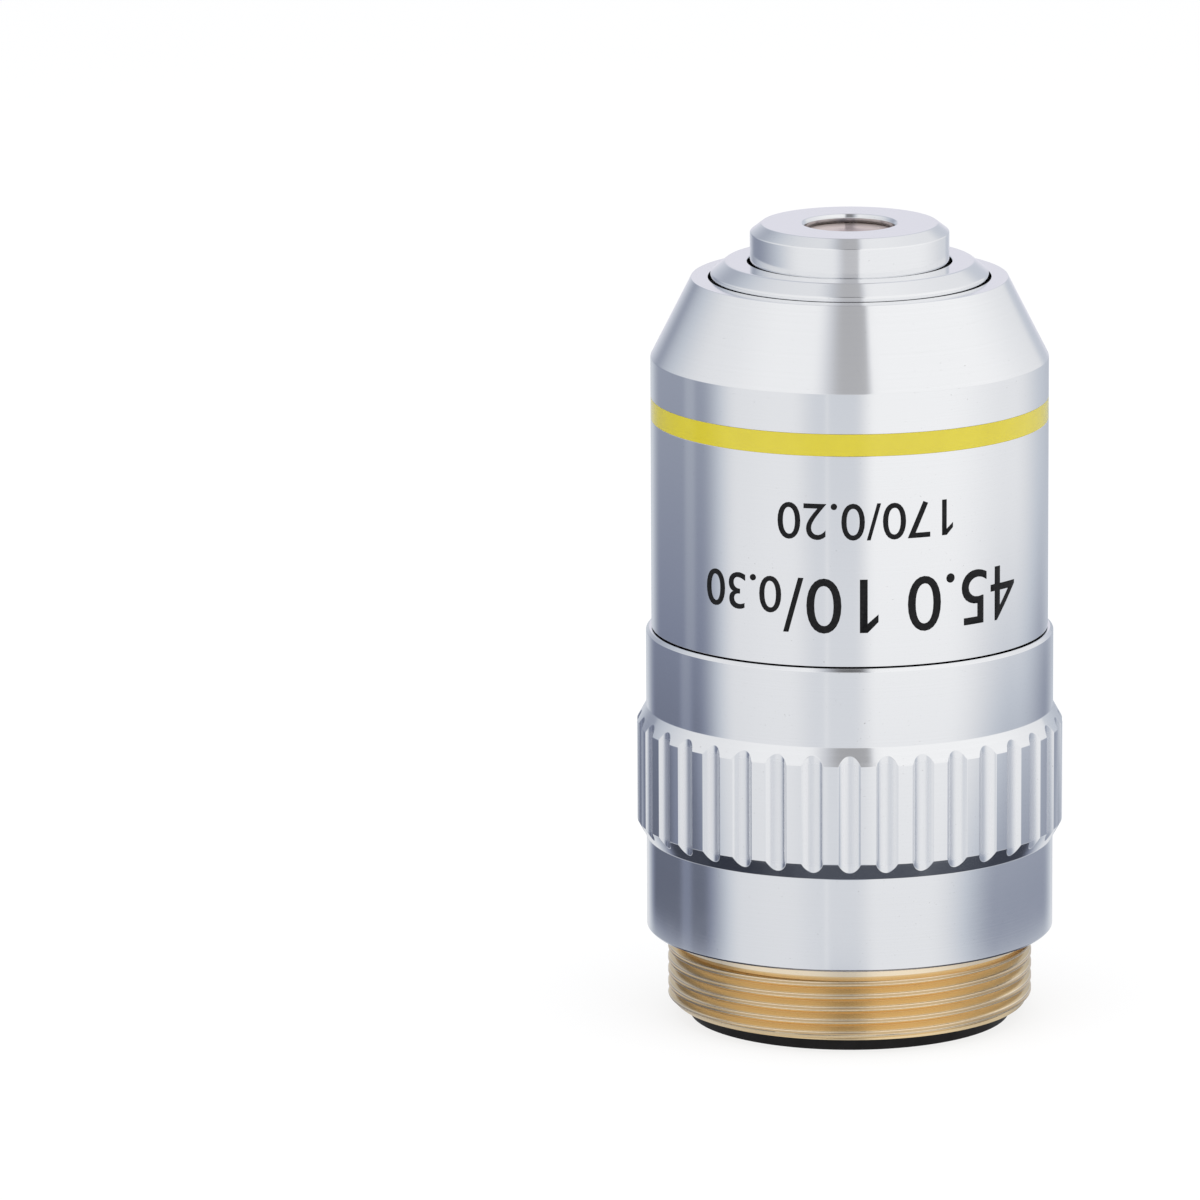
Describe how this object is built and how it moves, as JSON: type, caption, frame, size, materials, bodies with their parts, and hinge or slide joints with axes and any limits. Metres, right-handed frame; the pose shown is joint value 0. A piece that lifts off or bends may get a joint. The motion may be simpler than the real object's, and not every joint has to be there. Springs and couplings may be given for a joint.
{
  "type": "microscope objective",
  "caption": "Microscope objective with a chromed barrel and cone, a yellow colour band, a fluted grip sleeve, a brass mounting thread and a train of lens cells inside.",
  "frame": {"origin": "centre of the rear face, on which the objective stands", "axes": "+Z along the optical axis, from the mounting thread towards the nose; -Y is the side that the picture shows"},
  "size_m": [0.0236, 0.0236, 0.0448],
  "materials": {
    "satin_chrome": "satin chrome plate on turned brass",
    "grip_chrome": "satin chrome plate, bright in the flutes",
    "yellow_enamel": "smooth enamel, satin gloss",
    "turned_brass": "bare turned brass",
    "black_anodised": "matt black",
    "coated_glass": "polished, with a rosy anti-reflection coating",
    "crown_glass": "polished",
    "flint_glass": "polished"
  },
  "bodies": {
    "root": {"outer_barrel": "satin_chrome", "grip_sleeve": "grip_chrome", "colour_band": "yellow_enamel", "thread_mount": "turned_brass", "rear_ring": "black_anodised", "lens_tube": "satin_chrome", "parfocal_lock_ring": "turned_brass", "front_cell": "satin_chrome", "front_lens": "coated_glass", "front_lens_ring": "black_anodised", "front_spacer": "black_anodised", "middle_cell": "black_anodised", "middle_flint_lens": "flint_glass", "middle_crown_lens": "crown_glass", "middle_lens_ring": "black_anodised", "middle_spacer": "black_anodised", "aperture_stop": "black_anodised", "rear_cell": "black_anodised", "rear_crown_lens": "crown_glass", "rear_flint_lens": "flint_glass", "rear_lens_ring": "black_anodised", "rear_spacer": "black_anodised", "field_lens_cell": "black_anodised", "field_lens": "coated_glass", "field_lens_ring": "black_anodised", "stack_ring": "black_anodised"}
  },
  "joints": []
}
